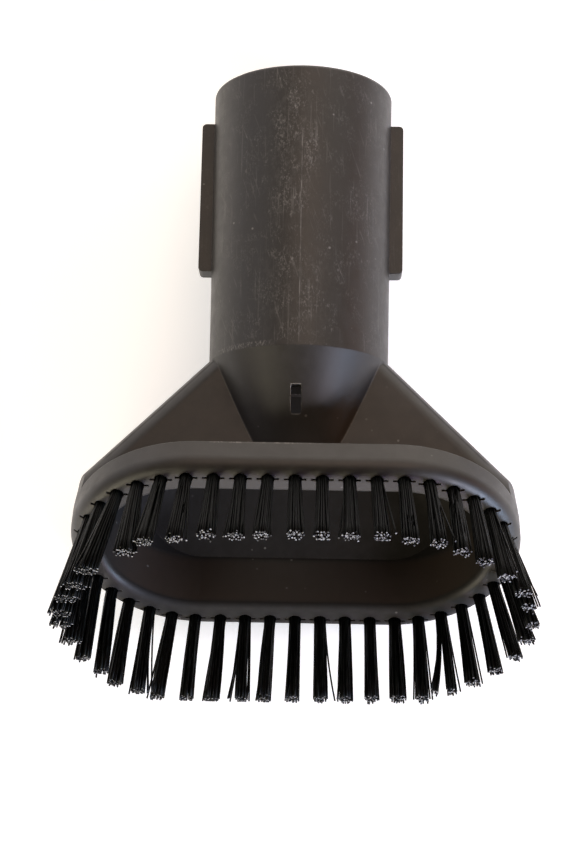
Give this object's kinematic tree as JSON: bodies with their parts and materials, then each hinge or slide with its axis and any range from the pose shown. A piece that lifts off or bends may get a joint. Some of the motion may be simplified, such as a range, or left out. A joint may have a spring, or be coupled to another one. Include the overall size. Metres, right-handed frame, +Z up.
{
  "type": "stiff bristle vacuum brush",
  "caption": "Stiff bristle brush tool for a vacuum cleaner wand: round socket neck, flared body and tilted oval ring of black bristle tufts.",
  "frame": {"origin": "middle of the wand socket's mouth", "axes": "+X along the head's long side, +Z up as the brush lies on its back, +Y towards the neck's open end; the neck's axis dips 3.7 degrees from +Y towards the floor"},
  "size_m": [0.1042, 0.1395, 0.064],
  "materials": {
    "body": "dark brown-grey moulded plastic, satin, scuffed",
    "bristles": "black nylon filament",
    "anchors": "plain strip"
  },
  "bodies": {
    "root": {"body": "body", "tuft_01": "bristles", "tuft_02": "bristles", "tuft_03": "bristles", "tuft_04": "bristles", "tuft_05": "bristles", "tuft_06": "bristles", "tuft_07": "bristles", "tuft_08": "bristles", "tuft_09": "bristles", "tuft_10": "bristles", "tuft_11": "bristles", "tuft_12": "bristles", "tuft_13": "bristles", "tuft_14": "bristles", "tuft_15": "bristles", "tuft_16": "bristles", "tuft_17": "bristles", "tuft_18": "bristles", "tuft_19": "bristles", "tuft_20": "bristles", "tuft_21": "bristles", "tuft_22": "bristles", "tuft_23": "bristles", "tuft_24": "bristles", "tuft_25": "bristles", "tuft_26": "bristles", "tuft_27": "bristles", "tuft_28": "bristles", "tuft_29": "bristles", "tuft_30": "bristles", "tuft_31": "bristles", "tuft_32": "bristles", "tuft_33": "bristles", "tuft_34": "bristles", "tuft_35": "bristles", "tuft_36": "bristles", "tuft_37": "bristles", "tuft_38": "bristles", "tuft_39": "bristles", "tuft_40": "bristles", "tuft_41": "bristles", "tuft_42": "bristles", "tuft_43": "bristles", "tuft_44": "bristles", "anchors": "anchors"}
  },
  "joints": []
}
